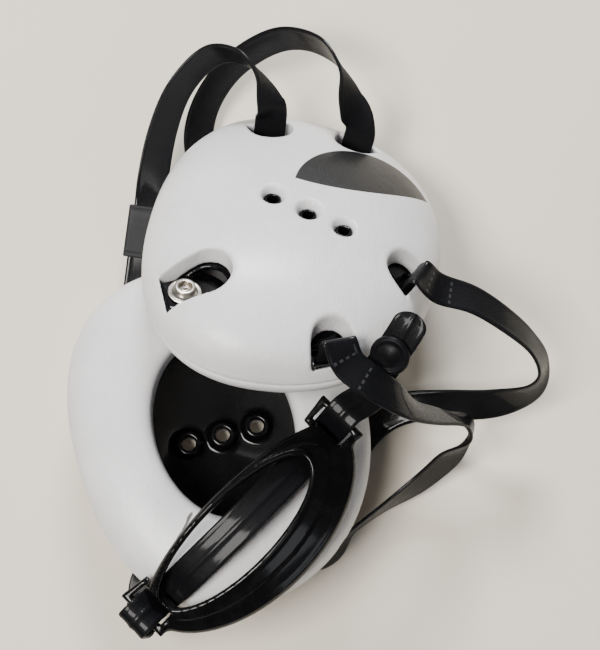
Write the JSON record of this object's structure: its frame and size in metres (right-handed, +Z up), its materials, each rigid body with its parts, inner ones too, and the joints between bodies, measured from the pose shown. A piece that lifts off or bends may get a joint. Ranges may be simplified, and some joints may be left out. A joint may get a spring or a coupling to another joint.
{
  "type": "wrestling headgear",
  "caption": "Padded ear guards joined by flat crown, nape and chin straps, with snap fasteners, a strap keeper and an open chin cup, laid down folded.",
  "frame": {"origin": "on the ground, under the middle of the whole part as it lies", "axes": "+X to the right and +Y away along the part's long side, seen from above; +Z up off the ground"},
  "size_m": [0.1868, 0.2388, 0.0905],
  "materials": {
    "white_skin": "satin",
    "white_pad": "satin",
    "black_shell": "gloss",
    "nickel": "satin",
    "webbing": "satin",
    "black_cap": "satin",
    "keeper_plastic": "satin",
    "cup_rubber": "satin"
  },
  "bodies": {
    "right_guard": {"right_cover": "white_skin", "right_ear_pad": "white_pad", "right_shell": "black_shell", "right_snap_stud": "nickel", "right_snap_post": "nickel", "right_snap_cap": "black_cap", "right_snap_socket": "nickel", "crown_strap_front": "webbing", "crown_strap_rear": "webbing", "nape_strap_upper": "webbing", "nape_strap_lower": "webbing", "chin_strap": "webbing", "left_snap_cap": "black_cap", "left_snap_socket": "nickel"},
    "left_guard": {"left_cover": "white_skin", "left_ear_pad": "white_pad", "left_shell": "black_shell", "left_snap_stud": "nickel", "left_snap_post": "nickel"},
    "keeper": {"strap_keeper": "keeper_plastic"},
    "cup": {"chin_cup": "cup_rubber"}
  },
  "joints": [
    {"name": "guard_fold", "type": "hinge", "parent": "right_guard", "child": "left_guard", "pos_m": [-0.0035, 0.085, 0.0005], "axis": [-1, 0, 0], "range_deg": [0, 40], "deforming": ["crown_strap_front", "crown_strap_rear", "nape_strap_upper", "nape_strap_lower"]},
    {"name": "keeper_slide", "type": "slide", "parent": "right_guard", "child": "keeper", "axis": [0.1436, 0.947, 0.2872], "range_m": [-0.005, 0.005], "deforming": ["crown_strap_front"]},
    {"name": "chin_cup_slide", "type": "slide", "parent": "right_guard", "child": "cup", "axis": [0.7098, 0.6999, 0.0794], "range_m": [-0.005, 0.005], "deforming": ["chin_strap"]}
  ]
}
